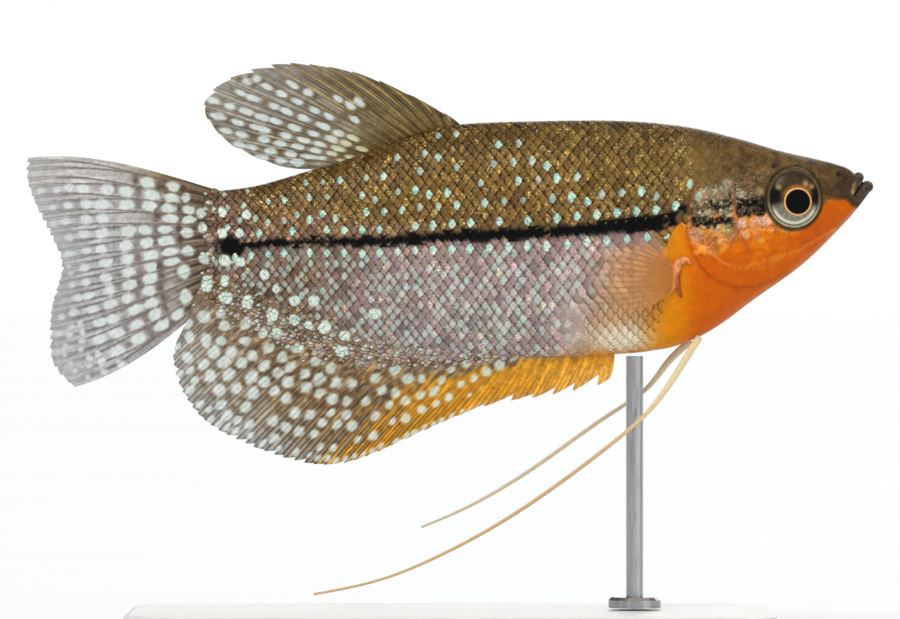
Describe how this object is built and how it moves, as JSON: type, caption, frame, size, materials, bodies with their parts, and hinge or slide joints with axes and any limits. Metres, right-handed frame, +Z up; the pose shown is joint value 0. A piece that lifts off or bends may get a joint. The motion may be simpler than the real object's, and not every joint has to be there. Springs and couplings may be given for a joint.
{
  "type": "pearl gourami",
  "caption": "Life-size still model of a pearl gourami with spread fins and long pelvic feelers, held level by one rod on a flat display base.",
  "frame": {"origin": "centre of the underside of the display base", "axes": "+X the way the fish faces, +Y the fish's left side, +Z up"},
  "size_m": [0.11, 0.046, 0.0761],
  "materials": {
    "skin": "brown and olive scales, satin",
    "throat": "orange skin, satin",
    "fin": "thin grey membrane with brown rays and pale spots",
    "eye": "polished, silver and gold iris round a black pupil",
    "feeler": "pale orange thread",
    "stand": "satin, off-white",
    "steel": "brushed"
  },
  "bodies": {
    "root": {"anal_fin": "fin", "caudal_fin": "fin", "dorsal_fin": "fin", "eye_left": "eye", "eye_right": "eye", "feeler_left_1": "feeler", "feeler_left_2": "feeler", "feeler_left_3": "feeler", "feeler_right_1": "feeler", "feeler_right_2": "feeler", "feeler_right_3": "feeler", "gill_cover_left": "throat", "gill_cover_right": "throat", "head": "skin", "lower_jaw": "throat", "pectoral_fin_left": "fin", "pectoral_fin_right": "fin", "stand_base": "stand", "stand_rod": "steel", "tail_base": "skin", "trunk": "skin"}
  },
  "joints": []
}
